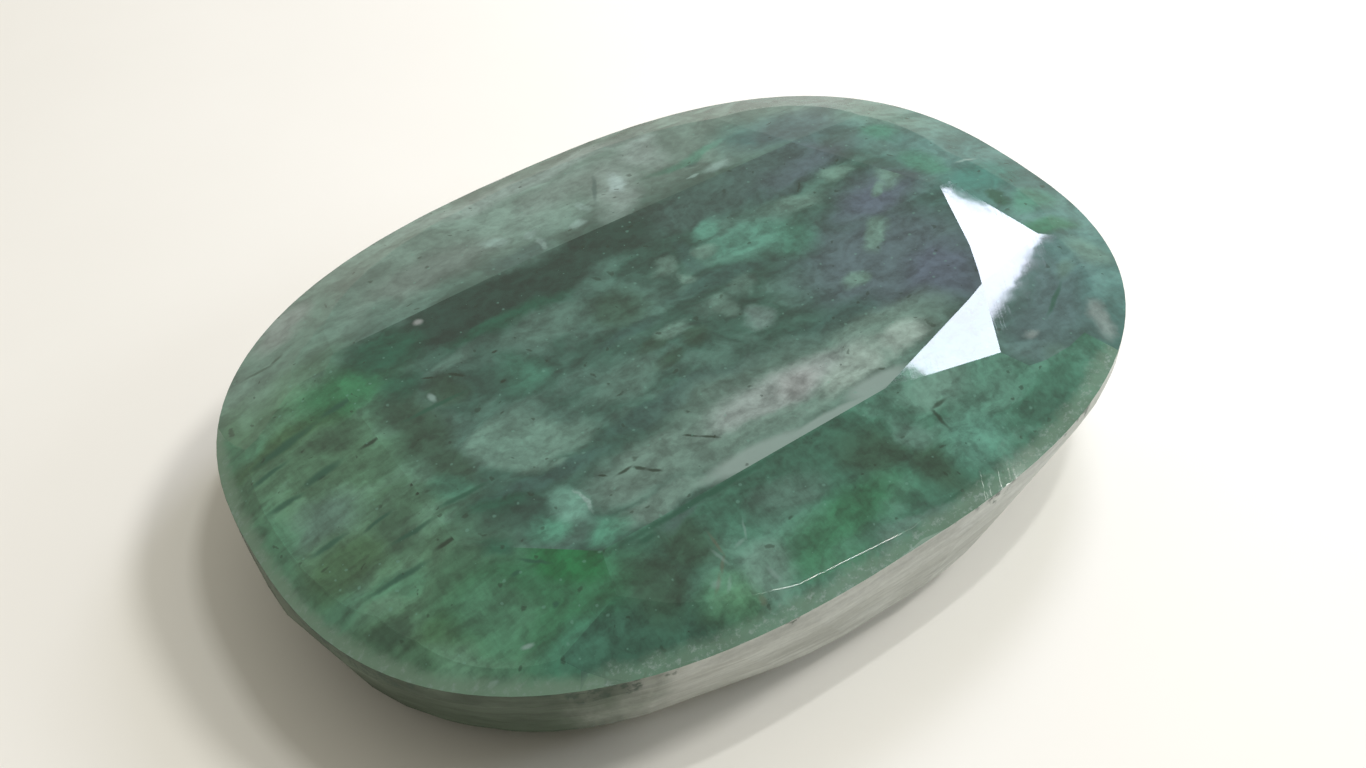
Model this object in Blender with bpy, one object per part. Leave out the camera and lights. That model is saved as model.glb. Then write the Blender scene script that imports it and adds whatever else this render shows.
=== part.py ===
"""Large oval emerald, cut and polished: a low faceted crown with a wide flat
table, a thick polished edge and a faceted underside with a flat base.

Metres, +Z up.  The long axis of the oval runs along X.  The origin is the
middle of the flat base, on the surface the stone rests on.
"""

import math

import bmesh
import bpy
from mathutils import Vector

MM = 0.001

# Outline, seen from above: an oval that is a little squarer than an ellipse
HALF_LENGTH = 40.0 * MM
HALF_WIDTH = 29.9 * MM
SQUARENESS = 2.53
OUTLINE_STEPS = 120

# Heights above the base
CROWN_EDGE = 11.6 * MM
TABLE_HEIGHT = 14.4 * MM

# Bevel round the crown edge, rising inwards
BEVEL_SLOPE = math.radians(25.0)
BEVEL_REACH = 12.0 * MM

# The narrow upright wall under the crown edge
WALL_THICKNESS = 1.3 * MM

# Crown facets that meet the table: the direction each one faces in degrees,
# how far its table line lies from the centre, and its slope in degrees
TABLE_FACETS = (
    (-90.0, 17.80 * MM, 12.1),   # long near side
    (-70.5, 20.02 * MM, 5.4),    # near right star
    (-50.6, 24.58 * MM, 11.1),   # near right main
    (-30.7, 26.20 * MM, 6.5),    # right near star
    (-9.0, 29.40 * MM, 11.8),    # right end main
    (24.5, 26.10 * MM, 6.5),     # right far star
    (57.0, 23.58 * MM, 10.5),    # far right main
    (88.3, 14.05 * MM, 7.3),     # far right star
    (89.8, 14.26 * MM, 8.1),     # far main
    (90.9, 14.36 * MM, 7.5),     # far left star
    (135.0, 28.40 * MM, 12.5),   # far left corner
    (180.0, 27.60 * MM, 10.0),   # left end main
    (-130.0, 26.10 * MM, 12.5),  # near left corner
)

# Small facets between the crown facets and the bevel
BREAK_COUNT = 16
BREAK_SLOPE = 15.0
BREAK_RISE = 0.45 * MM

# Side facets under the wall: the direction each one faces in degrees and how
# far it has drawn in where it meets the foot bevel
FOOT_HEIGHT = 2.8 * MM
SIDE_FACETS = (
    (-166.0, 2.1 * MM),
    (-147.0, 2.5 * MM),
    (-135.0, 2.6 * MM),
    (-120.0, 2.5 * MM),
    (-104.0, 2.7 * MM),
    (-91.0, 1.7 * MM),
    (-78.0, 2.3 * MM),
    (-73.0, 3.3 * MM),
    (-57.0, 3.6 * MM),
    (-42.0, 2.9 * MM),
    (-26.0, 3.0 * MM),
    (-9.0, 2.4 * MM),
    (11.0, 2.2 * MM),
    (32.0, 2.4 * MM),
    (50.0, 2.6 * MM),
    (65.0, 2.8 * MM),
    (77.0, 2.4 * MM),
    (90.0, 1.8 * MM),
    (103.0, 2.3 * MM),
    (117.0, 2.6 * MM),
    (132.0, 2.6 * MM),
    (150.0, 2.5 * MM),
    (171.0, 2.2 * MM),
)

# Below each side facet, a flatter one runs in to the flat base
FOOT_SLOPE = 42.0

WELD = 0.02 * MM
SMOOTH_LIMIT = math.radians(14.0)


def clear_scene():
    for old in list(bpy.data.objects):
        bpy.data.objects.remove(old, do_unlink=True)


def signed_power(value, power):
    return math.copysign(abs(value) ** power, value)


def outline_ring(bm, inset, height):
    """One loop of vertices: the oval shrunk by inset, at a height."""
    ring = []
    for step in range(OUTLINE_STEPS):
        turn = 2.0 * math.pi * step / OUTLINE_STEPS
        x = (HALF_LENGTH - inset) * signed_power(math.cos(turn), 2.0 / SQUARENESS)
        y = (HALF_WIDTH - inset) * signed_power(math.sin(turn), 2.0 / SQUARENESS)
        ring.append(bm.verts.new((x, y, height)))
    return ring


def outline_reach(azimuth):
    """Distance from the centre to the outline's tangent facing azimuth."""
    power = SQUARENESS / (SQUARENESS - 1.0)
    along = (HALF_LENGTH * abs(math.cos(azimuth))) ** power
    across = (HALF_WIDTH * abs(math.sin(azimuth))) ** power
    return (along + across) ** (1.0 / power)


def place(azimuth, reach, height):
    """A point at a distance from the centre towards azimuth."""
    return Vector((reach * math.cos(azimuth), reach * math.sin(azimuth), height))


def crown_normal(azimuth, slope):
    """Outward normal of a facet that slopes down towards azimuth."""
    return Vector((math.sin(slope) * math.cos(azimuth),
                   math.sin(slope) * math.sin(azimuth),
                   math.cos(slope)))


def under_normal(azimuth, slope):
    """Outward normal of an underside facet that faces azimuth."""
    normal = crown_normal(azimuth, slope)
    normal.z = -normal.z
    return normal


def build_blank(bm):
    """The uncut stone: an upright wall from the base, and the bevel above."""
    top_height = CROWN_EDGE + BEVEL_REACH * math.tan(BEVEL_SLOPE)
    rings = [
        outline_ring(bm, 0.0, 0.0),
        outline_ring(bm, 0.0, CROWN_EDGE),
        outline_ring(bm, BEVEL_REACH, top_height),
    ]
    for lower, upper in zip(rings, rings[1:]):
        for i in range(OUTLINE_STEPS):
            j = (i + 1) % OUTLINE_STEPS
            face = bm.faces.new((lower[i], lower[j], upper[j], upper[i]))
            face.smooth = True
    bm.faces.new(list(reversed(rings[0])))
    bm.faces.new(rings[-1])


def cut(bm, point, normal):
    """Grind one flat facet: take off what lies beyond the plane."""
    geometry = bm.verts[:] + bm.edges[:] + bm.faces[:]
    result = bmesh.ops.bisect_plane(
        bm, geom=geometry, dist=WELD * 0.05,
        plane_co=point, plane_no=normal, clear_outer=True)
    rim = [item for item in result["geom_cut"]
           if isinstance(item, bmesh.types.BMEdge) and item.is_boundary]
    if rim:
        filled = bmesh.ops.edgeloop_fill(bm, edges=rim)
        for face in filled["faces"]:
            face.smooth = False
            face.normal_update()


def cut_table(bm):
    cut(bm, Vector((0.0, 0.0, TABLE_HEIGHT)), Vector((0.0, 0.0, 1.0)))
    for facing, reach, tilt in TABLE_FACETS:
        azimuth = math.radians(facing)
        normal = crown_normal(azimuth, math.radians(tilt))
        cut(bm, place(azimuth, reach, TABLE_HEIGHT), normal)


def cut_breaks(bm):
    for k in range(BREAK_COUNT):
        azimuth = 2.0 * math.pi * (k + 0.5) / BREAK_COUNT
        point = place(azimuth, outline_reach(azimuth), CROWN_EDGE + BREAK_RISE)
        cut(bm, point, crown_normal(azimuth, math.radians(BREAK_SLOPE)))


def cut_underside(bm):
    """Two rows of facets: steep sides, then a foot row in to the base."""
    top = CROWN_EDGE - WALL_THICKNESS
    for facing, draw_in in SIDE_FACETS:
        azimuth = math.radians(facing)
        wall = outline_reach(azimuth)
        slope = math.atan2(top - FOOT_HEIGHT, draw_in)
        cut(bm, place(azimuth, wall, top), under_normal(azimuth, slope))
        foot = under_normal(azimuth, math.radians(FOOT_SLOPE))
        cut(bm, place(azimuth, wall - draw_in, FOOT_HEIGHT), foot)


def stone_material():
    material = bpy.data.materials.new("emerald")
    material.use_nodes = True
    shader = material.node_tree.nodes["Principled BSDF"]
    shader.inputs["Base Color"].default_value = (0.09, 0.23, 0.15, 1.0)
    shader.inputs["Roughness"].default_value = 0.12
    shader.inputs["Metallic"].default_value = 0.0
    shader.inputs["IOR"].default_value = 1.58
    return material


def build_stone():
    bm = bmesh.new()
    build_blank(bm)
    cut_table(bm)
    cut_breaks(bm)
    cut_underside(bm)
    bmesh.ops.remove_doubles(bm, verts=bm.verts[:], dist=WELD)
    bmesh.ops.recalc_face_normals(bm, faces=bm.faces[:])
    for edge in bm.edges:
        edge.smooth = edge.calc_face_angle(math.pi) < SMOOTH_LIMIT
    mesh = bpy.data.meshes.new("emerald")
    bm.to_mesh(mesh)
    bm.free()
    mesh.materials.append(stone_material())
    stone = bpy.data.objects.new("emerald", mesh)
    bpy.context.scene.collection.objects.link(stone)


clear_scene()
build_stone()
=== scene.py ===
"""Large oval emerald, cut and polished, lying on a pale table top.

Metres, +Z up.  The long axis of the oval runs along X and the origin is the
middle of the stone's flat base.
"""

import math

import bmesh
import bpy
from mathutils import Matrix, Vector


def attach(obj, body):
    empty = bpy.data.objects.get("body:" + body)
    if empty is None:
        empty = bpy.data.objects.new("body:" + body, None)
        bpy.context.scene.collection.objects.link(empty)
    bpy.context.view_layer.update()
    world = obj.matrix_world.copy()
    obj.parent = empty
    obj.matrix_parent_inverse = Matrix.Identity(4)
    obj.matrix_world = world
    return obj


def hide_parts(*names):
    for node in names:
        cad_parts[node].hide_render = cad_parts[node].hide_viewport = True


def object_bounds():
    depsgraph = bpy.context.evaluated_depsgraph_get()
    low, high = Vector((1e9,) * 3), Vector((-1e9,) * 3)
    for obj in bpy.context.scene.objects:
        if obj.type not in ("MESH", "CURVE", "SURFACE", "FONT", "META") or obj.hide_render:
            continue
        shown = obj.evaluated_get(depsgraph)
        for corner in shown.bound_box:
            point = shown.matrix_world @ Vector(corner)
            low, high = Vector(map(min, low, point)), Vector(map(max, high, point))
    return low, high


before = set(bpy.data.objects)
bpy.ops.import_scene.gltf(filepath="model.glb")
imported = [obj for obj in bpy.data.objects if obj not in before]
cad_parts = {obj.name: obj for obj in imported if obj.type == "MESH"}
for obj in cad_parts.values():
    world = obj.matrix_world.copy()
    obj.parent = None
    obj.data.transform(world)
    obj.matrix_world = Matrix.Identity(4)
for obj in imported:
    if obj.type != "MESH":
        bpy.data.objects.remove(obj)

MM = 0.001
NODE = "emerald"


def plain_box(box):
    low, high = box
    return [[float(c) for c in low], [float(c) for c in high]]


cad_box = plain_box(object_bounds())

# Heights above the base: the edge between crown and side, and the foot of the
# narrow upright wall under it
CROWN_EDGE = 11.6 * MM
WALL_FOOT = 10.3 * MM
TABLE_HEIGHT = cad_box[1][2]


# ---------------------------------------------------------------------------
# Node helpers
# ---------------------------------------------------------------------------

# Where a Mix node keeps the sockets of its colour mode
MIX_MASK, MIX_UNDER, MIX_OVER, MIX_RESULT = 0, 6, 7, 2

# A soft mark starts this far outside its oval and is full this far inside it
SOFT_OUTSIDE = 0.5
SOFT_INSIDE = 0.7


class Board:
    """Places nodes in one tree and keeps them in readable columns."""

    ROWS = 9
    COLUMN_WIDTH = 190.0
    ROW_HEIGHT = 170.0

    def __init__(self, tree):
        self.tree = tree
        self.count = 0
        self.turned = {}

    def add(self, kind, label="", **settings):
        node = self.tree.nodes.new(kind)
        node.label = label
        column, row = divmod(self.count, self.ROWS)
        node.location = (column * self.COLUMN_WIDTH, -row * self.ROW_HEIGHT)
        self.count += 1
        for name, value in settings.items():
            setattr(node, name, value)
        return node

    def feed(self, socket, value):
        """Link a socket, or set its value."""
        if isinstance(value, bpy.types.NodeSocket):
            self.tree.links.new(value, socket)
        else:
            socket.default_value = value

    def maths(self, operation, first, second=None, third=None, label=""):
        node = self.add("ShaderNodeMath", label, operation=operation)
        for socket, value in zip(node.inputs, (first, second, third)):
            if value is not None:
                self.feed(socket, value)
        return node.outputs[0]

    def vector(self, operation, first, second=None, third=None, label=""):
        node = self.add("ShaderNodeVectorMath", label, operation=operation)
        for socket, value in zip(node.inputs, (first, second, third)):
            if value is not None:
                self.feed(socket, value)
        return node

    def stretch(self, place, x, y, z=0.0, label=""):
        return self.vector("MULTIPLY", place, (x, y, z), label=label).outputs[0]

    def scale(self, vector, amount, label=""):
        node = self.vector("SCALE", vector, label=label)
        self.feed(node.inputs["Scale"], amount)
        return node.outputs[0]

    def ramp(self, value, low, high, start=0.0, end=1.0, label=""):
        """Smooth step from start to end as value goes from low to high."""
        node = self.add("ShaderNodeMapRange", label,
                        interpolation_type="SMOOTHSTEP")
        self.feed(node.inputs["Value"], value)
        self.feed(node.inputs["From Min"], low)
        self.feed(node.inputs["From Max"], high)
        self.feed(node.inputs["To Min"], start)
        self.feed(node.inputs["To Max"], end)
        return node.outputs["Result"]

    def noise(self, place, detail=3.0, roughness=0.55, label="", flat=True):
        """Noise with one bump to a unit of place; flat noise ignores Z."""
        node = self.add("ShaderNodeTexNoise", label,
                        noise_dimensions="2D" if flat else "3D")
        self.feed(node.inputs["Vector"], place)
        node.inputs["Scale"].default_value = 1.0
        node.inputs["Detail"].default_value = detail
        node.inputs["Roughness"].default_value = roughness
        return node

    def blend(self, mask, under, over, label=""):
        """One colour laid over another where mask is one."""
        node = self.add("ShaderNodeMix", label, data_type="RGBA")
        self.feed(node.inputs[MIX_MASK], mask)
        self.feed(node.inputs[MIX_UNDER], under)
        self.feed(node.inputs[MIX_OVER], over)
        return node.outputs[MIX_RESULT]

    def effect(self, group, **values):
        """Place an effect group and feed its sockets by name."""
        node = self.add("ShaderNodeGroup", group.name, node_tree=group)
        for name, value in values.items():
            self.feed(node.inputs[name], value)
        return node.outputs

    def turn(self, place, degrees):
        """The place turned back by an angle, made once for each angle."""
        if degrees == 0:
            return place
        key = (place.node.name, place.name, degrees)
        if key not in self.turned:
            node = self.add("ShaderNodeVectorRotate", "turn",
                            rotation_type="Z_AXIS")
            self.feed(node.inputs["Vector"], place)
            node.inputs["Angle"].default_value = math.radians(-degrees)
            self.turned[key] = node.outputs[0]
        return self.turned[key]

    def oval(self, place, x, y, long, wide, turn):
        """How far out a place lies in an oval: 0 its middle, 1 its border."""
        angle = math.radians(turn)
        along = x * math.cos(angle) + y * math.sin(angle)
        across = y * math.cos(angle) - x * math.sin(angle)
        scaled = self.vector("MULTIPLY_ADD", self.turn(place, turn),
                             (2.0 / long, 2.0 / wide, 0.0),
                             (-2.0 * along / long, -2.0 * across / wide, 0.0),
                             "oval").outputs[0]
        return self.vector("LENGTH", scaled).outputs["Value"]

    def ovals(self, place, marks):
        """The same for several ovals at once: the one that is nearest."""
        nearest = None
        for mark in marks:
            reach = self.oval(place, *mark)
            if nearest is None:
                nearest = reach
            else:
                nearest = self.maths("MINIMUM", nearest, reach)
        return nearest

    def lay(self, body, place, layers):
        """Lay tints over the body colour, each on its own ovals."""
        for tint, cover, soft, marks in layers:
            mask = self.ramp(self.ovals(place, marks), 1.0 + SOFT_OUTSIDE * soft,
                             1.0 - SOFT_INSIDE * soft, 0.0, cover, tint)
            body = self.blend(mask, body, TINTS[tint] + (1.0,), tint)
        return body


SOCKETS = {"number": "NodeSocketFloat", "place": "NodeSocketVector",
           "tint": "NodeSocketColor"}


def new_effect(name, inputs, outputs):
    """An empty effect group with the named sockets, and its board."""
    group = bpy.data.node_groups.new(name, "ShaderNodeTree")
    for label, kind in inputs.items():
        group.interface.new_socket(label, in_out="INPUT",
                                   socket_type=SOCKETS[kind])
    for label, kind in outputs.items():
        group.interface.new_socket(label, in_out="OUTPUT",
                                   socket_type=SOCKETS[kind])
    board = Board(group)
    given = board.add("NodeGroupInput").outputs
    result = board.add("NodeGroupOutput").inputs
    return group, board, given, result


def new_finish(name):
    """A material, its board, its shader and the place on it in mm."""
    material = bpy.data.materials.new(name)
    material.use_nodes = True
    tree = material.node_tree
    board = Board(tree)
    spot = board.add("ShaderNodeTexCoord", "place")
    place = board.scale(spot.outputs["Object"], 1.0 / MM, "millimetres")
    return material, board, tree.nodes["Principled BSDF"], place


# ---------------------------------------------------------------------------
# Effects that the stone's finishes share
# ---------------------------------------------------------------------------

# Noises are stretched: their place is multiplied by the bumps to a millimetre
# along the stone, across it and, on its sides, upwards.

LINE_WANDER = 0.35      # the share of the fine wander that lines follow


def make_wander():
    """Pushes places about, so that the markings' borders wander.

    Clouds are pushed widely and finely, lines only finely and less.
    """
    group, board, given, result = new_effect(
        "wander", {"Place": "place", "Wide": "number", "Fine": "number"},
        {"Clouds": "place", "Lines": "place"})
    place = given["Place"]

    def push(start, stretch, detail, amount, label):
        noise = board.noise(board.stretch(place, *stretch), detail, 0.6, label)
        swing = board.vector("SUBTRACT", noise.outputs["Color"],
                             (0.5, 0.5, 0.5)).outputs[0]
        swing = board.scale(swing, amount)
        return board.vector("ADD", start, swing).outputs[0]

    lines = push(place, (0.42, 0.55), 4.0, given["Fine"], "fine wander")
    clouds = push(lines, (0.07, 0.10), 2.0, given["Wide"], "wide wander")
    near_lines = board.vector("ADD", board.scale(place, 1.0 - LINE_WANDER),
                              board.scale(lines, LINE_WANDER)).outputs[0]
    board.feed(result["Clouds"], clouds)
    board.feed(result["Lines"], near_lines)
    return group


FLECKS = 0.45           # how strong the small flecks are beside the mottle


def make_grain():
    """The stone's cloudy body: soft drifts, mottle and lengthwise streaks.

    Drift goes from 0 in the deep green to 1 in the milky parts, and Tone is
    the light and dark of mottle, flecks, streaks and hatch, about 1.
    """
    group, board, given, result = new_effect(
        "grain", {"Place": "place", "Clouds": "place", "Mottle": "number",
                  "Streaks": "number", "Hatch": "number"},
        {"Drift": "number", "Tone": "number"})

    def swing(place, stretch, detail, low, high, amount, label):
        noise = board.noise(board.stretch(place, *stretch), detail, 0.6, label)
        around = board.ramp(noise.outputs["Fac"], low, high, -1.0, 1.0)
        return board.maths("MULTIPLY", around, amount)

    drift = board.noise(board.stretch(given["Clouds"], 0.065, 0.12), 4.0, 0.6,
                        "drift")
    board.feed(result["Drift"], board.ramp(drift.outputs["Fac"], 0.34, 0.66))
    mottle = swing(given["Clouds"], (0.34, 0.50), 5.0, 0.28, 0.72,
                   given["Mottle"], "mottle")
    flecks = swing(given["Place"], (1.10, 1.35), 4.0, 0.30, 0.70,
                   board.maths("MULTIPLY", given["Mottle"], FLECKS), "flecks")
    streaks = swing(given["Place"], (0.11, 1.35), 3.0, 0.30, 0.66,
                    given["Streaks"], "streaks")
    hatch = swing(given["Place"], (2.6, 0.20), 2.0, 0.34, 0.66,
                  given["Hatch"], "hatch")
    tone = board.maths("ADD", mottle, flecks)
    tone = board.maths("ADD", tone, streaks)
    tone = board.maths("ADD", tone, hatch)
    board.feed(result["Tone"], board.maths("ADD", tone, 1.0))
    return group


BODY_MIDDLE = (0.025, 0.078, 0.058, 1.0)
BODY_LEFT = (0.067, 0.170, 0.099, 1.0)
BODY_RIGHT = (0.053, 0.142, 0.127, 1.0)
BODY_FAR = (0.116, 0.192, 0.159, 1.0)
BODY_NEAR = (0.035, 0.124, 0.083, 1.0)
BODY_MILK = (0.104, 0.177, 0.155, 1.0)

# Where the middle's colour begins to give way, and where it has, in mm
TO_LEFT_END = (-22.0, -31.0)
TO_RIGHT_END = (23.0, 33.0)
TO_FAR_SIDE = (11.0, 20.5)

MOST_MILK = 0.22        # how much of the milky colour the milkiest parts have
DRIFT_TONES = (0.75, 1.20)      # tone of the deep green and of the milky parts


def make_body():
    """The body colour: green in the middle, lighter at both ends, pale beyond
    the far edge of the table facet, and its own green on the near crown."""
    group, board, given, result = new_effect(
        "body", {"Place": "place", "Drift": "number", "Near": "number"},
        {"Tint": "tint"})
    split = board.add("ShaderNodeSeparateXYZ")
    board.feed(split.inputs[0], given["Place"])
    x, y = split.outputs["X"], split.outputs["Y"]
    body = board.blend(board.ramp(x, *TO_LEFT_END), BODY_MIDDLE, BODY_LEFT,
                       "left end")
    body = board.blend(board.ramp(x, *TO_RIGHT_END), body, BODY_RIGHT,
                       "right end")
    body = board.blend(board.ramp(y, *TO_FAR_SIDE), body, BODY_FAR, "far side")
    body = board.blend(given["Near"], body, BODY_NEAR, "near crown")
    milk = board.ramp(given["Drift"], 0.35, 1.0, 0.0, MOST_MILK)
    body = board.blend(milk, body, BODY_MILK, "milky parts")
    tone = board.ramp(given["Drift"], 0.0, 1.0, *DRIFT_TONES)
    board.feed(result["Tint"], board.scale(body, tone))
    return group


SPECK_BORDER = 0.4      # a speck is full out to this share of its radius


def make_specks():
    """Scattered specks: one in a part of the cells of a jittered net."""
    group, board, given, result = new_effect(
        "specks", {"Place": "place", "Spacing": "number", "Size": "number",
                   "Share": "number"},
        {"Mask": "number"})
    net = board.add("ShaderNodeTexVoronoi", "net", voronoi_dimensions="2D")
    board.feed(net.inputs["Vector"], given["Place"])
    board.feed(net.inputs["Scale"],
               board.maths("DIVIDE", 1.0, given["Spacing"]))
    pick = board.add("ShaderNodeSeparateColor")
    board.feed(pick.inputs[0], net.outputs["Color"])
    size = board.maths("DIVIDE", given["Size"], given["Spacing"])
    size = board.maths("MULTIPLY", size, pick.outputs[1])
    dot = board.ramp(net.outputs["Distance"], size,
                     board.maths("MULTIPLY", size, SPECK_BORDER))
    chosen = board.maths("LESS_THAN", pick.outputs[0], given["Share"])
    board.feed(result["Mask"], board.maths("MULTIPLY", dot, chosen))
    return group


SCRATCH_TURN = 60       # degrees from the stone's length
SCRATCH_DULL = 0.25     # how much duller a full scratch is
SCRATCH_DEPTH = 0.004   # mm
PATCH_HEIGHT = 0.002    # mm


def make_wear():
    """Fine scratches and dull patches on a polished face.

    Height is in millimetres.
    """
    group, board, given, result = new_effect(
        "polish_wear", {"Place": "place", "Gloss": "number",
                        "Dulling": "number", "Scratches": "number"},
        {"Roughness": "number", "Height": "number"})
    turned = board.turn(given["Place"], SCRATCH_TURN)
    lines = board.noise(board.stretch(turned, 0.16, 7.0), 1.0, 0.5,
                        "scratches")
    fine = board.ramp(lines.outputs["Fac"], 0.685, 0.73)
    scratch = board.maths("MULTIPLY", fine, given["Scratches"])
    dull = board.noise(board.stretch(given["Place"], 0.30, 0.30), 2.0, 0.55,
                       "dulling")
    patch = board.ramp(dull.outputs["Fac"], 0.40, 0.72)
    haze = board.maths("MULTIPLY_ADD", patch, given["Dulling"],
                       given["Gloss"])
    board.feed(result["Roughness"],
               board.maths("MULTIPLY_ADD", scratch, SCRATCH_DULL, haze))
    board.feed(result["Height"],
               board.maths("MULTIPLY_ADD", scratch, -SCRATCH_DEPTH,
                           board.maths("MULTIPLY", patch, PATCH_HEIGHT)))
    return group


GRIT_DULL = 0.16        # how much duller the grit makes a ground face
GRIT_HEIGHT = 0.03      # mm


def make_ground():
    """The soft unevenness of a face that is ground but not polished.

    Height is in millimetres.
    """
    group, board, given, result = new_effect(
        "ground", {"Place": "place", "Rough": "number"},
        {"Tone": "number", "Roughness": "number", "Height": "number"})
    bands = board.noise(board.stretch(given["Place"], 0.13, 0.13, 1.9), 4.0,
                        0.6, "lengthwise bands", flat=False)
    grit = board.noise(board.stretch(given["Place"], 1.6, 1.6, 2.6), 4.0,
                       0.65, "grit", flat=False)
    tone = board.ramp(bands.outputs["Fac"], 0.30, 0.70, -0.12, 0.12)
    fine = board.ramp(grit.outputs["Fac"], 0.30, 0.70, 0.93, 1.07)
    board.feed(result["Tone"], board.maths("ADD", tone, fine))
    board.feed(result["Roughness"],
               board.maths("MULTIPLY_ADD", grit.outputs["Fac"], GRIT_DULL,
                           given["Rough"]))
    board.feed(result["Height"],
               board.maths("MULTIPLY", grit.outputs["Fac"], GRIT_HEIGHT))
    return group


# The rim of the crown: a band along its edge, by its height in mm, and the
# steep bevel, from the steepest slope that is glossy to the flattest that is
# fully dull, in degrees
RIM_TOP = 12.0
RIM_BORDER = 0.25
DULL_SLOPES = (22.33, 24.50)
BEVEL_DULL = 0.45


def make_rim():
    """The worn rim of the crown: how much a pale band covers along its edge,
    the chips in that band, and how much duller the steep bevel is."""
    group, board, given, result = new_effect(
        "rim", {"Place": "place", "Lines": "place", "Facing": "place",
                "Cover": "number", "Chipped": "number"},
        {"Band": "number", "Chips": "number", "Dull": "number"})
    height = board.add("ShaderNodeSeparateXYZ", "height")
    board.feed(height.inputs[0], given["Lines"])
    edge = board.ramp(height.outputs["Z"], RIM_TOP + RIM_BORDER,
                      RIM_TOP - RIM_BORDER, label="edge")
    board.feed(result["Band"], board.maths("MULTIPLY", edge, given["Cover"]))
    chips = board.noise(board.stretch(given["Place"], 1.3, 1.8), 5.0, 0.75,
                        "chips")
    spots = board.ramp(chips.outputs["Fac"], 0.50, 0.70, 0.0,
                       given["Chipped"])
    board.feed(result["Chips"], board.maths("MULTIPLY", spots, edge))
    up = board.add("ShaderNodeSeparateXYZ", "how level")
    board.feed(up.inputs[0], given["Facing"])
    glossy, dull = [math.cos(math.radians(slope)) for slope in DULL_SLOPES]
    steep = board.ramp(up.outputs["Z"], glossy, dull, label="steep")
    board.feed(result["Dull"], board.maths("MULTIPLY", steep, BEVEL_DULL))
    return group


WANDER = make_wander()
GRAIN = make_grain()
BODY = make_body()
SPECKS = make_specks()
WEAR = make_wear()
GROUND = make_ground()
RIM = make_rim()


# ---------------------------------------------------------------------------
# Tints and markings
# ---------------------------------------------------------------------------

TINTS = {
    "ink": (0.005, 0.019, 0.009),
    "pine": (0.009, 0.066, 0.039),
    "shadow": (0.009, 0.033, 0.024),
    "dusk": (0.038, 0.081, 0.071),
    "umber": (0.019, 0.054, 0.032),
    "olive": (0.034, 0.094, 0.040),
    "rust": (0.091, 0.072, 0.047),
    "emerald": (0.009, 0.117, 0.039),
    "leaf": (0.021, 0.122, 0.056),
    "meadow": (0.049, 0.159, 0.093),
    "lime": (0.072, 0.201, 0.093),
    "spruce": (0.028, 0.078, 0.066),
    "lagoon": (0.042, 0.164, 0.110),
    "teal": (0.028, 0.134, 0.109),
    "jade": (0.073, 0.215, 0.161),
    "mint": (0.067, 0.244, 0.162),
    "slate": (0.057, 0.088, 0.103),
    "violet": (0.062, 0.081, 0.120),
    # haze: painted sheen, a bluish tint that stands in for the bluish reflection of the
    # room on the right end
    "haze": (0.072, 0.124, 0.134),
    "moss": (0.122, 0.206, 0.146),
    "smoke": (0.067, 0.137, 0.110),
    "mist": (0.099, 0.192, 0.153),
    "lace": (0.114, 0.263, 0.206),
    "frost": (0.192, 0.298, 0.270),
    "veil": (0.104, 0.178, 0.147),
    "sand": (0.197, 0.246, 0.232),
    "rose": (0.218, 0.244, 0.237),
    "butter": (0.234, 0.314, 0.276),
    "pearl": (0.201, 0.276, 0.251),
    "chalk": (0.275, 0.384, 0.368),
    "ash": (0.130, 0.165, 0.153),
}

# Each layer is a tint, how much it covers, how soft its border is, and its
# ovals seen from above: x, y, length, width and turn, in mm and degrees.

LEFT_BORDER_CLOUDS = (
    ("umber", 0.85, 0.8, ((-24.2, 1.8, 5.4, 12.0, 0), (-23.8, -3.2, 4.4, 6.0, 0),
                          (-20.4, 4.4, 3.4, 3.2, 0))),
    ("leaf", 0.80, 1.0, ((-27.0, 9.0, 11.0, 4.8, 0),)),
    ("emerald", 0.40, 1.0, ((-26.4, 9.6, 11.0, 3.6, 0),)),
    ("pine", 0.80, 0.8, ((-23.4, 6.8, 4.0, 3.0, 0), (-23.0, -9.8, 4.6, 2.2, 0),
                         (-25.6, -13.2, 2.6, 1.6, -30))),
)

RIGHT_BORDER_CLOUDS = (
    ("slate", 0.85, 0.8, ((21.0, 10.4, 15.0, 6.0, 0), (24.0, 2.0, 10.0, 6.0, 0))),
    ("violet", 0.55, 0.8, ((22.5, 1.6, 8.0, 3.4, 0),)),
    ("dusk", 0.80, 0.8, ((27.0, 11.4, 6.0, 4.6, 0),)),
)

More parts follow.
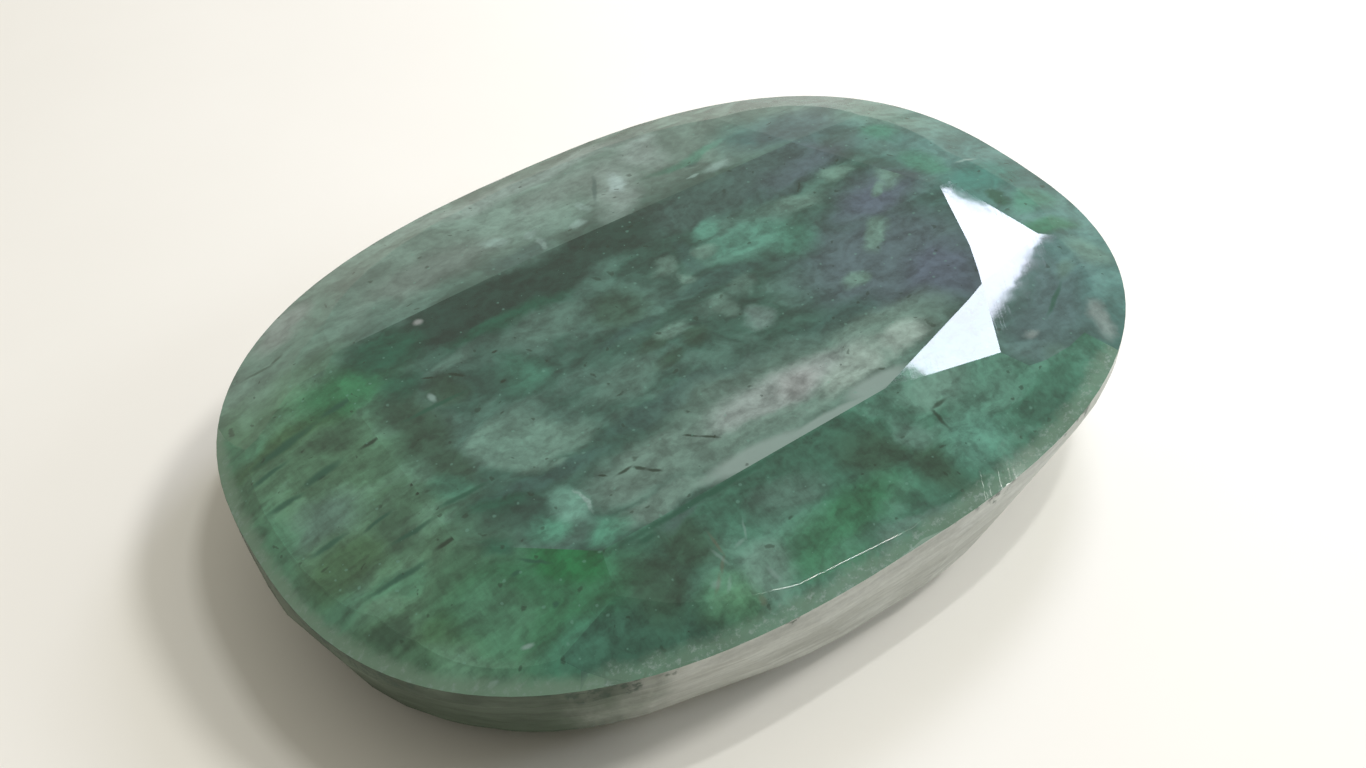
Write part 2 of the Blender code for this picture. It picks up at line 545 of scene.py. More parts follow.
TABLE_CLOUDS = (
    ("slate", 0.85, 0.8, ((18.5, -6.0, 18.0, 15.0, -30),)),
    ("violet", 0.55, 0.8, ((20.6, -10.0, 8.0, 6.0, 45),)),
    ("dusk", 0.80, 0.7, ((12.0, 11.6, 24.0, 5.0, 0),)),
    ("shadow", 0.45, 1.0, ((-13.0, 5.8, 24.0, 3.4, 0), (2.0, 15.6, 26.0, 5.0, 0))),
    ("shadow", 0.92, 0.45, ((-12.5, 11.0, 27.0, 6.8, 0), (-2.0, 11.8, 13.0, 5.2, 0))),
    ("pine", 0.85, 0.8, ((-22.0, 11.2, 6.6, 5.4, 0), (-12.0, 8.1, 13.0, 1.7, 0))),
    ("umber", 0.70, 0.8, ((-3.4, 3.4, 6.0, 5.5, 0), (-4.0, -2.6, 3.6, 1.6, 0),
                          (-4.0, -4.8, 3.6, 1.5, 0), (-0.8, -4.0, 2.4, 2.6, 0))),
    ("spruce", 0.75, 0.8, ((4.7, 5.4, 1.8, 6.0, 0), (5.0, 1.2, 9.0, 2.2, 0),
                           (-5.0, 0.2, 7.0, 1.5, 0), (9.6, -8.8, 10.0, 3.2, 0))),
    ("lagoon", 0.55, 0.9, ((-14.6, 2.2, 4.0, 4.2, 0), (13.6, 2.0, 5.0, 4.6, 0),
                           (-25.4, -5.6, 3.0, 4.0, 0))),
    ("jade", 0.75, 0.8, ((9.8, 4.6, 8.0, 5.4, 0), (8.4, 8.6, 4.4, 2.0, 30))),
    ("smoke", 0.75, 0.8, ((-9.6, 5.6, 8.6, 3.6, 0), (-18.4, 6.4, 5.0, 1.8, 0),
                          (-8.0, -4.2, 7.0, 4.0, 0), (5.8, -0.8, 3.6, 2.2, 30))),
    ("mist", 0.85, 0.35, ((-18.3, -4.4, 7.4, 7.2, 0),)),
    ("mist", 0.80, 0.7, ((-15.0, -6.2, 5.0, 3.4, 0), (-17.6, -8.3, 1.8, 0.9, 0),
                         (2.2, 5.2, 2.2, 2.6, 30), (3.1, 2.9, 1.2, 2.2, 30),
                         (6.3, 5.4, 2.0, 2.2, 0), (17.4, 5.8, 3.6, 3.0, 0),
                         (22.6, 6.4, 3.0, 2.2, 0), (3.0, -2.3, 2.0, 2.8, 0),
                         (-2.0, -2.2, 3.0, 1.8, 0), (15.0, -5.4, 3.4, 2.2, 0),
                         (20.0, -2.2, 4.4, 2.2, 45))),
    ("mist", 0.80, 0.9, ((26.2, 3.5, 3.6, 2.4, 30), (24.2, 2.7, 2.2, 1.2, 30))),
    ("frost", 0.50, 1.0, ((4.8, -4.6, 2.6, 2.2, 0),)),
    ("spruce", 0.85, 0.7, ((-18.6, -9.1, 10.0, 1.6, 0), (-5.0, -8.3, 16.0, 1.5, 0))),
    ("veil", 0.85, 0.6, ((-11.0, -12.8, 14.0, 5.6, 0), (9.0, -12.6, 14.0, 5.6, 0),
                         (-13.0, -16.8, 9.0, 2.8, 0), (-1.0, -14.0, 30.0, 8.4, -3))),
    ("veil", 0.50, 1.0, ((0.0, -9.8, 18.0, 3.6, 0), (14.6, -13.4, 7.0, 3.8, 30))),
    ("smoke", 0.55, 1.0, ((-16.4, -1.6, 4.0, 2.6, 0), (2.4, -1.8, 4.0, 2.4, 0),
                          (16.0, 6.0, 5.0, 3.0, 0))),
    ("sand", 0.90, 0.6, ((1.0, -12.5, 15.0, 4.8, 0),)),
    ("rose", 0.80, 0.9, ((2.4, -12.6, 5.0, 3.0, 0),)),
    ("veil", 0.75, 0.8, ((-2.2, -14.9, 7.0, 1.3, 0), (2.6, -16.3, 5.4, 1.1, 0))),
    ("butter", 0.80, 0.8, ((7.0, -14.7, 7.0, 3.6, 15), (12.0, -14.4, 5.0, 2.4, 15))),
    ("lace", 0.75, 0.7, ((-19.3, -12.6, 3.3, 4.2, 0),)),
    ("frost", 0.80, 0.8, ((-18.0, -12.8, 0.6, 2.8, 0),)),
    ("mint", 0.65, 0.8, ((-17.9, -16.7, 3.6, 3.0, 0), (-21.7, -13.8, 3.4, 2.6, -30))),
)

TABLE_LINES = (
    ("pearl", 0.85, 0.6, ((-4.6, -17.3, 10.0, 2.2, -4), (2.6, -17.6, 13.0, 1.2, -2),
                          (7.6, -17.0, 6.4, 2.0, 0))),
    ("ink", 0.85, 0.8, ((-13.8, -12.3, 1.5, 0.30, 0), (-12.7, -12.8, 1.1, 0.36, -45),
                        (-11.9, -13.6, 1.3, 0.34, -45), (-7.6, -12.4, 1.2, 0.24, -45),
                        (-6.6, -13.4, 1.8, 0.24, -45), (-21.2, 6.2, 1.1, 0.30, -30),
                        (-19.1, 5.1, 1.6, 0.36, -45), (-16.4, 2.0, 0.6, 0.34, 0),
                        (-15.2, 5.6, 0.6, 0.34, 0), (-15.4, -11.7, 0.8, 0.24, -45))),
    ("pine", 0.85, 0.9, ((-22.2, 3.0, 5.2, 0.44, 0), (-25.0, -6.8, 4.4, 0.46, 0))),
    ("frost", 0.70, 0.9, ((-22.0, 4.0, 0.5, 1.1, 0),)),
    ("rose", 0.85, 0.9, ((-18.7, 12.9, 0.8, 0.8, 0),)),
)

LEFT_CLOUDS = (
    ("smoke", 0.80, 0.9, ((-34.0, -1.6, 7.0, 3.8, 0), (-36.2, -8.0, 5.0, 6.0, 0))),
    ("umber", 0.60, 0.9, ((-30.4, 5.2, 5.0, 3.0, 0),)),
    ("meadow", 0.80, 0.9, ((-38.2, -2.0, 3.6, 9.0, 0), (-37.4, 11.0, 4.0, 6.0, 0),
                           (-25.0, -25.0, 8.0, 3.0, -15), (-36.6, -8.6, 5.0, 6.0, 0))),
    ("olive", 0.85, 0.8, ((-34.4, -6.0, 7.0, 4.8, 0), (-33.8, 8.0, 12.0, 2.2, 0),
                          (-33.6, 13.4, 5.0, 1.8, 0), (-31.4, -16.8, 6.0, 3.0, -30))),
    ("umber", 0.70, 0.8, ((-30.2, -6.6, 3.2, 7.0, 0), (-34.8, -13.6, 3.2, 2.2, 0))),
    ("smoke", 0.60, 0.9, ((-27.0, 13.2, 6.0, 2.6, 0),)),
    ("leaf", 0.85, 0.8, ((-24.5, -19.0, 16.0, 9.0, -30),)),
    ("meadow", 0.80, 0.8, ((-28.6, -17.6, 5.4, 4.4, -30), (-32.6, -11.0, 5.0, 2.0, -30))),
    ("emerald", 0.95, 0.7, ((-21.6, -17.0, 7.4, 3.4, -45),)),
    ("lagoon", 0.60, 0.8, ((-23.0, -23.0, 9.0, 3.2, -15),)),
    ("mist", 0.75, 0.9, ((-20.6, -25.6, 6.0, 1.8, -15), (-27.0, -24.4, 3.4, 1.2, -30))),
)

LEFT_LINES = (
    ("ink", 0.85, 0.8, ((-28.3, 2.7, 1.8, 0.46, 0), (-32.8, 2.5, 0.7, 0.36, 0),
                        (-28.1, -10.0, 1.9, 0.44, 0), (-27.6, -3.4, 0.4, 0.34, 0),
                        (-27.7, -4.5, 0.4, 0.30, 0))),
    ("pine", 0.85, 0.9, ((-33.8, 7.6, 6.0, 0.9, 4), (-28.6, 8.1, 3.2, 0.7, 0),
                         (-36.2, 2.2, 3.0, 0.6, -3), (-32.6, 2.8, 3.4, 0.8, 3),
                         (-33.2, 13.5, 5.0, 0.6, 4), (-32.4, -10.3, 5.0, 0.6, -4),
                         (-36.0, 5.8, 3.4, 0.5, 6), (-35.2, -3.8, 3.0, 0.6, 0),
                         (-31.2, -4.6, 2.4, 0.4, 5), (-29.6, -7.4, 3.4, 0.5, -3))),
    ("pine", 0.80, 0.9, ((-25.4, -15.4, 0.8, 0.4, 0), (-24.4, -19.2, 0.6, 0.5, 0),
                         (-25.0, -23.6, 0.8, 0.9, 0), (-23.8, -15.4, 2.4, 0.3, -45))),
    ("frost", 0.70, 0.9, ((-27.6, -20.6, 1.0, 0.4, -15), (-31.0, -21.3, 0.9, 0.4, -15))),
)

NEAR_CLOUDS = (
    ("leaf", 0.80, 0.8, ((-3.0, -25.4, 13.0, 4.4, 0), (-20.5, -20.0, 6.0, 5.0, 0))),
    ("umber", 0.85, 0.8, ((-14.0, -21.4, 5.6, 5.6, -30), (-17.6, -22.6, 5.0, 6.0, 0),
                          (3.2, -22.2, 6.5, 5.0, 0), (6.4, -25.0, 4.0, 4.6, 0))),
    ("lime", 0.50, 1.0, ((-13.2, -26.2, 5.4, 3.2, 0),)),
    ("mist", 0.85, 0.8, ((-9.9, -25.2, 4.0, 4.2, 0),)),
    ("mist", 0.75, 1.0, ((11.4, -18.9, 6.4, 3.2, 0),)),
    ("smoke", 0.70, 0.9, ((-5.0, -21.4, 6.0, 2.6, 0), (7.0, -21.6, 2.6, 3.6, 0),
                          (1.0, -28.6, 26.0, 1.0, 0))),
    ("jade", 0.70, 0.8, ((11.4, -24.4, 6.0, 5.0, 0),)),
    ("dusk", 0.75, 0.8, ((-12.6, -19.0, 5.0, 1.6, 0),)),
)

NEAR_LINES = (
    ("pine", 0.85, 0.9, ((-11.0, -18.1, 14.0, 0.5, 0), (-16.0, -18.7, 1.6, 0.5, 0),
                         (7.4, -28.2, 5.0, 0.4, 0))),
    ("rust", 0.40, 1.0, ((-12.0, -21.8, 0.3, 2.0, 0), (-12.6, -23.4, 1.7, 0.3, 45),
                         (-13.8, -24.4, 1.5, 0.3, 45), (-11.8, -27.2, 0.6, 0.9, 0))),
    ("frost", 0.35, 1.0, ((-10.4, -22.6, 1.0, 0.30, 15), (-9.5, -21.9, 1.7, 0.20, 60),
                          (-9.8, -26.0, 0.40, 1.4, 15), (-12.4, -22.8, 0.30, 1.6, 15),
                          (-13.2, -24.9, 1.2, 0.30, 45), (-14.0, -24.4, 0.8, 0.6, 0))),
    ("ink", 0.75, 0.9, ((9.6, -22.2, 0.36, 2.2, 0), (10.4, -21.2, 1.8, 0.36, 0))),
)

RIGHT_CLOUDS = (
    # painted sheen: the bluish haze over the right end's near facets stands in for a
    # reflection of the room
    ("haze", 0.60, 0.9, ((25.0, -18.6, 18.0, 9.0, 30),)),
    ("teal", 0.90, 0.7, ((34.0, -1.2, 9.0, 5.6, 0),)),
    ("lagoon", 0.80, 0.8, ((35.2, -6.2, 6.0, 3.0, 0), (31.2, 9.4, 4.4, 3.0, 0),
                           (30.6, 3.6, 3.6, 5.0, 0))),
    ("leaf", 0.70, 0.8, ((34.0, -9.8, 7.0, 2.2, 0), (33.0, -10.2, 2.4, 1.2, 0))),
    ("pine", 0.90, 0.7, ((17.0, -23.8, 4.0, 8.4, 0), (32.4, -4.5, 1.6, 2.4, 0))),
    ("spruce", 0.75, 0.9, ((24.6, -13.4, 9.0, 4.4, 30),)),
    ("smoke", 0.75, 0.8, ((21.4, -24.6, 3.0, 5.0, 0), (30.6, -15.8, 3.4, 2.2, 30))),
    ("sand", 0.60, 0.9, ((21.6, -19.6, 1.6, 1.3, 0), (29.2, -21.6, 4.0, 1.6, 30))),
    ("mist", 0.70, 0.9, ((35.0, -14.4, 4.0, 5.0, 0),)),
)

RIGHT_LINES = (
    ("pine", 0.75, 0.9, ((16.6, -21.4, 0.4, 3.4, 0), (27.0, -17.6, 4.6, 0.4, 30))),
    ("frost", 0.70, 0.9, ((28.0, -11.2, 2.4, 0.3, 45), (34.6, 1.6, 2.6, 0.3, 0))),
)

FAR_CLOUDS = (
    ("mist", 0.85, 0.8, ((-28.0, 20.0, 13.0, 9.0, 30),)),
    ("ash", 0.35, 0.8, ((-13.6, 19.4, 13.0, 5.0, 0), (2.0, 22.6, 11.0, 4.6, 0))),
    ("dusk", 0.80, 0.8, ((-7.5, 15.2, 7.0, 2.6, 0),)),
    ("smoke", 0.70, 0.8, ((-20.0, 17.4, 3.6, 4.0, 0), (-17.0, 15.4, 10.0, 1.6, 0))),
    ("sand", 0.70, 0.8, ((-28.0, 22.4, 6.0, 4.0, 30),)),
    ("pearl", 0.75, 1.0, ((10.0, 22.6, 5.0, 4.6, 0), (11.0, 24.6, 5.0, 3.0, 0),
                          (4.2, 18.0, 10.0, 3.6, 60), (0.0, 27.0, 26.0, 3.0, 0))),
    ("lagoon", 0.70, 0.8, ((13.6, 18.9, 11.0, 1.6, 0),)),
    ("spruce", 0.65, 0.8, ((13.2, 18.1, 1.8, 1.0, 0), (20.2, 18.0, 2.4, 2.0, 0),
                           (22.6, 16.0, 2.0, 1.8, 0))),
    ("frost", 0.60, 0.7, ((15.0, 14.9, 4.0, 2.4, 0), (-7.6, 19.0, 3.4, 2.0, -45),
                          (-4.0, 17.6, 1.0, 1.4, 0), (-0.8, 16.0, 1.4, 1.4, 0),
                          (0.8, 18.0, 1.0, 2.4, 0), (-4.4, 15.5, 0.8, 2.2, -30),
                          (11.6, 15.2, 1.6, 0.6, 0))),
    ("teal", 0.75, 0.8, ((20.4, 16.6, 1.3, 2.0, 0),)),
    ("chalk", 0.80, 0.8, ((5.2, 19.6, 3.2, 1.6, 60),)),
)

FAR_RIGHT_CLOUDS = (
    ("teal", 0.75, 1.0, ((23.4, 16.4, 12.0, 7.6, -30),)),
    ("shadow", 0.40, 1.0, ((24.0, 15.4, 10.0, 4.0, -30),)),
    ("slate", 0.60, 0.9, ((25.0, 15.8, 13.0, 8.0, 0),)),
    ("mist", 0.75, 0.9, ((34.8, 13.0, 8.0, 12.0, 15),)),
)

FAR_LINES = (
    ("umber", 0.70, 0.9, ((-31.8, 18.0, 2.6, 0.4, -15), (-30.2, 18.0, 1.4, 0.4, 15))),
    ("dusk", 0.70, 0.9, ((4.0, 20.3, 5.0, 0.5, 60),)),
)


# ---------------------------------------------------------------------------
# The stone's finishes
# ---------------------------------------------------------------------------

STONE_IOR = 1.58
GROUND_IOR = 1.5        # of the duller ground sides
GLOSS = 0.042           # roughness of the best polished places
DULLING = 0.03          # how much duller the dull patches are
SCRATCHES = 0.06        # how strong the scratches are
DARK_SPECKS = {"Spacing": 1.6, "Size": 0.30, "Share": 0.25}     # mm
LIGHT_POINTS = {"Spacing": 1.1, "Size": 0.20, "Share": 0.22}    # mm
DARK_COVER = 0.55
LIGHT_COVER = 0.35


def add_specks(board, body, specks, place, cover, tint, label):
    """Specks of one tint, scattered over the body colour."""
    found = board.effect(SPECKS, Place=place, **specks)
    mask = board.maths("MULTIPLY", found["Mask"], cover)
    return board.blend(mask, body, TINTS[tint] + (1.0,), label)


def add_relief(board, shader, height, strength, label):
    """A bump of a height in millimetres."""
    relief = board.add("ShaderNodeBump", label)
    relief.inputs["Distance"].default_value = MM
    relief.inputs["Strength"].default_value = strength
    board.feed(relief.inputs["Height"], height)
    board.feed(shader.inputs["Normal"], relief.outputs["Normal"])


def polished_finish(name, clouds, lines, grains, rim=None, near=0.0):
    """A polished face: body colour, clouds, grain, fine lines and specks.

    Grains are how strong the mottle, streaks and hatch are.  A worn rim is
    given by its tint, how much it covers and how much of it is chipped.
    """
    material, board, shader, place = new_finish(name)
    mottle, streaks, hatch = grains
    wander = board.effect(WANDER, Place=place, Wide=5.0, Fine=1.3)
    grain = board.effect(GRAIN, Place=wander["Lines"], Clouds=wander["Clouds"],
                         Mottle=mottle, Streaks=streaks, Hatch=hatch)
    body = board.effect(BODY, Place=wander["Clouds"], Drift=grain["Drift"],
                        Near=near)["Tint"]
    body = board.lay(body, wander["Clouds"], clouds)
    body = board.scale(body, grain["Tone"], "grain")
    body = board.lay(body, wander["Lines"], lines)
    body = add_specks(board, body, DARK_SPECKS, wander["Clouds"], DARK_COVER,
                      "ink", "dark specks")
    body = add_specks(board, body, LIGHT_POINTS, wander["Lines"], LIGHT_COVER,
                      "lace", "light points")
    wear = board.effect(WEAR, Place=place, Gloss=GLOSS, Dulling=DULLING,
                        Scratches=SCRATCHES)
    roughness = wear["Roughness"]
    if rim:
        tint, cover, chipped = rim
        shape = board.add("ShaderNodeNewGeometry", "facing")
        worn = board.effect(RIM, Place=place, Lines=wander["Lines"],
                            Facing=shape.outputs["True Normal"], Cover=cover,
                            Chipped=chipped)
        body = board.blend(worn["Band"], body, TINTS[tint] + (1.0,), "rim")
        body = board.blend(worn["Chips"], body, TINTS["pearl"] + (1.0,),
                           "whitish chips")
        roughness = board.maths("ADD", roughness, worn["Dull"])
    board.feed(shader.inputs["Base Color"], body)
    board.feed(shader.inputs["Roughness"], roughness)
    add_relief(board, shader, wear["Height"], 1.0, "scratches")
    shader.inputs["IOR"].default_value = STONE_IOR
    return material


def table_finish():
    return polished_finish(
        "polished_table", LEFT_BORDER_CLOUDS + RIGHT_BORDER_CLOUDS + TABLE_CLOUDS,
        TABLE_LINES, (0.28, 0.02, 0.02))


def left_end_finish():
    return polished_finish(
        "polished_left_end", LEFT_CLOUDS + LEFT_BORDER_CLOUDS, LEFT_LINES,
        (0.26, 0.09, 0.04), rim=("moss", 0.85, 0.45))


def near_crown_finish():
    return polished_finish(
        "polished_near_crown", NEAR_CLOUDS, NEAR_LINES, (0.32, 0.02, 0.04),
        rim=("moss", 0.65, 0.75), near=1.0)


def right_end_finish():
    return polished_finish(
        "polished_right_end",
        RIGHT_BORDER_CLOUDS + FAR_RIGHT_CLOUDS + RIGHT_CLOUDS, RIGHT_LINES,
        (0.22, 0.05, 0.02))


def far_crown_finish():
    return polished_finish(
        "polished_far_crown", FAR_CLOUDS + FAR_RIGHT_CLOUDS, FAR_LINES,
        (0.20, 0.03, 0.01))


GREEN_SIDE = ((0.040, 0.066, 0.038, 1.0), (0.088, 0.128, 0.086, 1.0))
TAUPE_SIDE = ((0.420, 0.440, 0.405, 1.0), (0.520, 0.545, 0.510, 1.0))
TO_TAUPE = (-26.0, -19.0)       # from the green left end to the rock, in mm
DARK_LINE = (10.9, 11.5)        # where it begins and is full, in mm up the side
DARK_LINE_COVER = 0.8
SIDE_ROUGH = 0.48
SIDE_RELIEF = 0.6


def side_finish():
    """The ground sides: taupe rock, green towards the left end, with a dark
    broken line under the crown's edge."""
    material, board, shader, place = new_finish("ground_side")
    wander = board.effect(WANDER, Place=place, Wide=9.0, Fine=4.0)
    split = board.add("ShaderNodeSeparateXYZ")
    board.feed(split.inputs[0], wander["Clouds"])
    taupe = board.ramp(split.outputs["X"], *TO_TAUPE, label="taupe side")
    noise = board.noise(board.stretch(place, 0.10, 0.14, 0.4), 4.0, 0.6,
                        "drift", flat=False)
    drift = board.ramp(noise.outputs["Fac"], 0.36, 0.64)
    green = board.blend(drift, *GREEN_SIDE, "green side")
    rock = board.blend(drift, *TAUPE_SIDE, "taupe rock")
    body = board.blend(taupe, green, rock, "sides")
    broken = board.noise(board.stretch(place, 0.9, 0.9, 1.2), 5.0, 0.7, "broken",
                         flat=False)
    gaps = board.ramp(broken.outputs["Fac"], 0.44, 0.60, 0.0, DARK_LINE_COVER)
    line = board.maths("MULTIPLY", board.ramp(split.outputs["Z"], *DARK_LINE),
                       gaps)
    body = board.blend(line, body, TINTS["umber"] + (1.0,), "dark broken line")
    ground = board.effect(GROUND, Place=place, Rough=SIDE_ROUGH)
    body = board.scale(body, ground["Tone"], "unevenness")
    board.feed(shader.inputs["Base Color"], body)
    board.feed(shader.inputs["Roughness"], ground["Roughness"])
    add_relief(board, shader, ground["Height"], SIDE_RELIEF, "ground relief")
    shader.inputs["IOR"].default_value = GROUND_IOR
    return material


# ---------------------------------------------------------------------------
# The stone
# ---------------------------------------------------------------------------

# Facets polished a hair deeper: the direction each one faces, how far its line
# on the table lies from the centre, and its slope
DEEPER_FACETS = (
    (-24.7, 26.62 * MM, 6.5),   # right near star
    (-33.4, 26.09 * MM, 6.9),   # narrow facet beside it
    (-73.4, 19.26 * MM, 5.4),   # near right star
)

# The bevel is polished flatter from the near side, round the right end, to
# the far left, by one facet every few degrees, just under the crown's edge
FLAT_BEVEL = range(-107, 149, 5)
FLAT_BEVEL_SLOPE = 19.0
BEVEL_DROP = 0.02 * MM

# At most this much is taken off the ridges between the side facets, which are
# told from the wall and the base by how far their normals point down
RIDGE_DEPTH = 0.35 * MM
SIDE_NORMALS = (-0.60, -0.05)

# Corners closer than the first are one and, once faces that nearly lie in one
# plane are joined, corners closer than the second
WELD = 0.01 * MM
MEET = 0.10 * MM
ONE_PLANE = math.radians(0.25)
ON_PLANE = 0.0005 * MM      # a corner this close to a cut lies on it

# Edges sharper than the facet angle are polished round
FACET_ANGLE = math.radians(4.0)
EDGE_ROUND = 0.13 * MM
ROUND_STEPS = 3

# The upright wall and the bevel are ground round in narrow faces, told by how
# far their normals point up.  The edges between faces of one slope are left.
BEVEL_SLOPE = 25.0
WALL_NORMAL = 0.02
BEVEL_NORMAL = 0.01
SAME_SLOPE = 0.05

# Slopes in degrees: the table facet is flatter than the first, the crown
# flatter than the second
TABLE_SLOPE = 2.0
CROWN_SLOPE = 35.0

FULL_WEIGHT = 100       # a large face's normal wins at its corners


def towards(facing):
    """The level direction that a facet faces."""
    azimuth = math.radians(facing)
    return Vector((math.cos(azimuth), math.sin(azimuth), 0.0))


def facing_of(face):
    """The direction in degrees that a face faces, seen from above."""
    return math.degrees(math.atan2(face.normal.y, face.normal.x))


def reach_of(bm, facing):
    """How far the stone reaches in a direction."""
    outward = towards(facing)
    return max(corner.co.dot(outward) for corner in bm.verts)


def polish_facet(bm, facing, reach, height, tilt, deepest=math.inf):
    """Polish one facet: take off what lies beyond its plane.

    The plane is moved out where it would take off more than deepest.
    """
    slope = math.radians(tilt)
    normal = towards(facing) * math.sin(slope)
    normal.z = math.cos(slope)
    point = towards(facing) * reach
    point.z = height
    depth = max((corner.co - point).dot(normal) for corner in bm.verts)
    point += normal * max(0.0, depth - deepest)
    result = bmesh.ops.bisect_plane(
        bm, geom=bm.verts[:] + bm.edges[:] + bm.faces[:], dist=ON_PLANE,
        plane_co=point, plane_no=normal, clear_outer=True)
    rim = [item for item in result["geom_cut"]
           if isinstance(item, bmesh.types.BMEdge) and item.is_boundary]
    bmesh.ops.edgeloop_fill(bm, edges=rim)


def flatten_bevel(bm):
    """Polish the bevel flatter along most of the crown's edge."""
    for facing in FLAT_BEVEL:
        polish_facet(bm, facing, reach_of(bm, facing), CROWN_EDGE - BEVEL_DROP,
                     FLAT_BEVEL_SLOPE)


def side_facets(bm):
    """The facets of the upright side: how each one faces and its tilt."""
    found = {}
    low, high = SIDE_NORMALS
    for face in bm.faces:
        if low < face.normal.z < high:
            facing = facing_of(face)
            tilt = math.degrees(math.acos(face.normal.z))
            found[round(facing)] = (facing, tilt)
    return sorted(found.values())


def round_side_ridges(bm):
    """Take a narrow facet off each ridge between two side facets."""
    sides = side_facets(bm)
    first, tilt = sides[0]
    for one, other in zip(sides, sides[1:] + [(first + 360.0, tilt)]):
        facing = (one[0] + other[0]) / 2.0
        polish_facet(bm, facing, reach_of(bm, facing), WALL_FOOT,
                     (one[1] + other[1]) / 2.0, RIDGE_DEPTH)


def is_round(face):
    """True on the upright wall and the bevel, which are ground round."""
    up = face.normal.z
    bevel = math.cos(math.radians(BEVEL_SLOPE))
    return abs(up) < WALL_NORMAL or abs(up - bevel) < BEVEL_NORMAL


def is_hard(edge):
    """True on an edge between two facets, but not inside a round stretch."""
    if len(edge.link_faces) != 2:
        return False
    one, other = edge.link_faces
    if is_round(one) and is_round(other):
        if abs(one.normal.z - other.normal.z) < SAME_SLOPE:
            return False
    return edge.calc_face_angle(0.0) > FACET_ANGLE


def round_edges(bm):
    """Polish the hard edges slightly round."""
    hard = [edge for edge in bm.edges if is_hard(edge)]
    bmesh.ops.bevel(bm, geom=hard, offset=EDGE_ROUND, offset_type="OFFSET",
                    segments=ROUND_STEPS, profile=0.5, affect="EDGES",
                    clamp_overlap=True)


FINISHES = (table_finish, left_end_finish, near_crown_finish,
            right_end_finish, far_crown_finish, side_finish)

# The crown's finishes by the directions that their facets face, in degrees;
# what faces elsewhere is the left end
CROWN_FINISHES = (
    (-115.0, -60.0, near_crown_finish),
    (-60.0, 40.0, right_end_finish),
    (40.0, 150.0, far_crown_finish),
)


def finish_of(face):
    """The finish a face gets from the way it faces."""
    up = face.normal.z
    facing = facing_of(face)
    if up > math.cos(math.radians(TABLE_SLOPE)):
        return table_finish
    if up < math.cos(math.radians(CROWN_SLOPE)):
        return side_finish
    for first, last, finish in CROWN_FINISHES:
        if first <= facing < last:
            return finish
    return left_end_finish


def polished_stone():
    """The cut stone, polished: a few facets deeper and the hard edges round."""
    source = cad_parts[NODE]
    bm = bmesh.new()
    bm.from_mesh(source.data)
    bmesh.ops.remove_doubles(bm, verts=bm.verts[:], dist=WELD)
    for facing, reach, tilt in DEEPER_FACETS:
        polish_facet(bm, facing, reach, TABLE_HEIGHT, tilt)
    flatten_bevel(bm)
    round_side_ridges(bm)
    bmesh.ops.remove_doubles(bm, verts=bm.verts[:], dist=WELD)
    bmesh.ops.dissolve_limit(bm, angle_limit=ONE_PLANE, verts=bm.verts[:],
                             edges=bm.edges[:])
    bmesh.ops.remove_doubles(bm, verts=bm.verts[:], dist=MEET)
    bmesh.ops.recalc_face_normals(bm, faces=bm.faces[:])
    round_edges(bm)
    mesh = bpy.data.meshes.new("emerald_polished")
    for finish in FINISHES:
        mesh.materials.append(finish())
    for face in bm.faces:
        face.smooth = True
        face.material_index = FINISHES.index(finish_of(face))
    bm.to_mesh(mesh)
    bm.free()
    stone = bpy.data.objects.new("emerald_polished", mesh)
    bpy.context.scene.collection.objects.link(stone)
    weighted = stone.modifiers.new("flat_facets", "WEIGHTED_NORMAL")
    weighted.mode = "FACE_AREA"
    weighted.weight = FULL_WEIGHT
    return stone


# ---------------------------------------------------------------------------
# Table top, lights and camera
# ---------------------------------------------------------------------------

FLOOR_RADIUS = 2.5
FLOOR_STEPS = 96
FLOOR_ROUGH = 0.75
FLOOR_TONES = ((0.80, 0.785, 0.74, 1.0), (0.84, 0.825, 0.785, 1.0))


def table_top():
    """A pale, faintly mottled table top that carries the stone."""
    mesh = bpy.data.meshes.new("table_top")
    bm = bmesh.new()
    bmesh.ops.create_circle(bm, cap_ends=True, segments=FLOOR_STEPS,
                            radius=FLOOR_RADIUS)
    bm.to_mesh(mesh)
    bm.free()
    top = bpy.data.objects.new("table_top", mesh)
    bpy.context.scene.collection.objects.link(top)
    material, board, shader, place = new_finish("pale_table_top")
    mottle = board.noise(board.stretch(place, 0.022, 0.022), 4.0, 0.6, "mottle")
    tone = board.blend(mottle.outputs["Fac"], *FLOOR_TONES, "pale grey")
    board.feed(shader.inputs["Base Color"], tone)
    shader.inputs["Roughness"].default_value = FLOOR_ROUGH
    mesh.materials.append(material)


# Each lamp: the point that it is aimed at, in mm, the direction that it hangs
# in, how far away and the width and height of its face, in metres, how bright
# its face is, and its tint.  A face without a height is round.
LAMPS = {
    "key_light": ((0.0, 0.0, 14.4), (0.61, -0.235, 0.757), 0.90,
                  0.158, 0.0, 51.0, (1.0, 0.985, 0.955)),
    "high_lamp": ((-4.0, -27.0, 12.4), (0.386, 0.0, 0.922), 0.90,
                  0.028, 0.125, 140.0, (1.0, 1.0, 0.97)),
    "window_light": ((25.5, -12.9, 13.3), (0.645, 0.383, 0.662), 0.20,
                     0.050, 0.075, 16.0, (0.80, 0.83, 1.0)),
    "fill_light": ((30.0, -20.0, 0.0), (0.75, -0.45, 0.48), 0.30,
                   0.10, 0.0, 9.0, (0.80, 0.88, 1.0)),
}


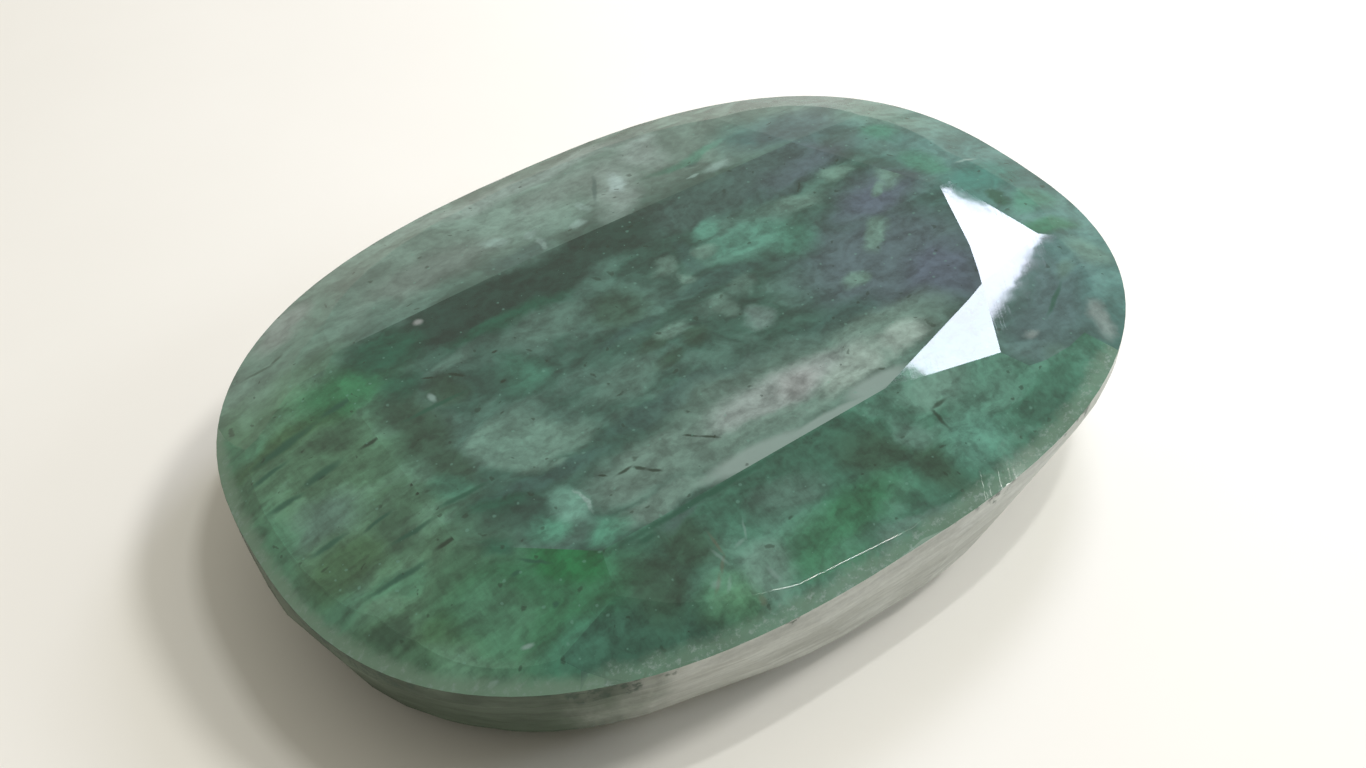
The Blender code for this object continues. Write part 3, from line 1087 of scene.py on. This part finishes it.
def soft_light(name, target, direction, distance, wide, high, glow, tint):
    """A soft lamp that hangs in a direction from a target point."""
    data = bpy.data.lights.new(name, "AREA")
    if high:
        data.shape = "RECTANGLE"
        data.size_y = high
        area = wide * high
    else:
        data.shape = "DISK"
        area = math.pi * wide * wide / 4.0
    data.size = wide
    data.energy = glow * math.pi * area
    data.color = tint
    light = bpy.data.objects.new(name, data)
    aim = Vector(direction).normalized()
    light.location = Vector(target) * MM + aim * distance
    light.rotation_euler = aim.to_track_quat("Z", "Y").to_euler()
    light.visible_camera = False
    bpy.context.scene.collection.objects.link(light)


ROOM_TINT = (1.0, 0.95, 0.82, 1.0)
DARK_SIDE = (-0.56, -0.72, 0.42)        # the direction the room is darkest in
ROOM_SPREAD = (0.95, 0.15)      # cosines to it where darkest and where lightest
ROOM_GLOW = (0.12, 0.69)        # how bright the room is there


def dim_room():
    """A dim room, darkest on the side of the view."""
    world = bpy.data.worlds.new("room")
    world.use_nodes = True
    board = Board(world.node_tree)
    sky = world.node_tree.nodes["Background"]
    sky.inputs["Color"].default_value = ROOM_TINT
    spot = board.add("ShaderNodeTexCoord", "direction")
    side = board.vector("DOT_PRODUCT", spot.outputs["Generated"],
                        DARK_SIDE).outputs["Value"]
    glow = board.ramp(side, *ROOM_SPREAD, *ROOM_GLOW, "darker on the view side")
    board.feed(sky.inputs["Strength"], glow)
    bpy.context.scene.world = world


def studio():
    """A key lamp from the right, a small lamp above it, a bluish window and
    a weak fill beside them, in a dim room."""
    for name, lamp in LAMPS.items():
        soft_light(name, *lamp)
    dim_room()


CAMERA_PLACE = (-47.32, -75.71, 95.20)  # mm
CAMERA_TURN = (44.80, 3.06, -34.93)     # degrees about X, Y and Z
SENSOR_WIDTH = 36.0
LENS = 36.896
NEAREST = 5.0 * MM


def camera():
    """A camera above the near left, with a moderately long lens."""
    data = bpy.data.cameras.new("view")
    data.sensor_width = SENSOR_WIDTH
    data.lens = LENS
    data.clip_start = NEAREST
    view = bpy.data.objects.new("view", data)
    view.location = Vector(CAMERA_PLACE) * MM
    view.rotation_euler = [math.radians(angle) for angle in CAMERA_TURN]
    bpy.context.scene.collection.objects.link(view)
    bpy.context.scene.camera = view


stone = polished_stone()
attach(stone, "root")
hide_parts(NODE)
table_top()
studio()
camera()
bpy.context.scene.view_settings.view_transform = "Standard"
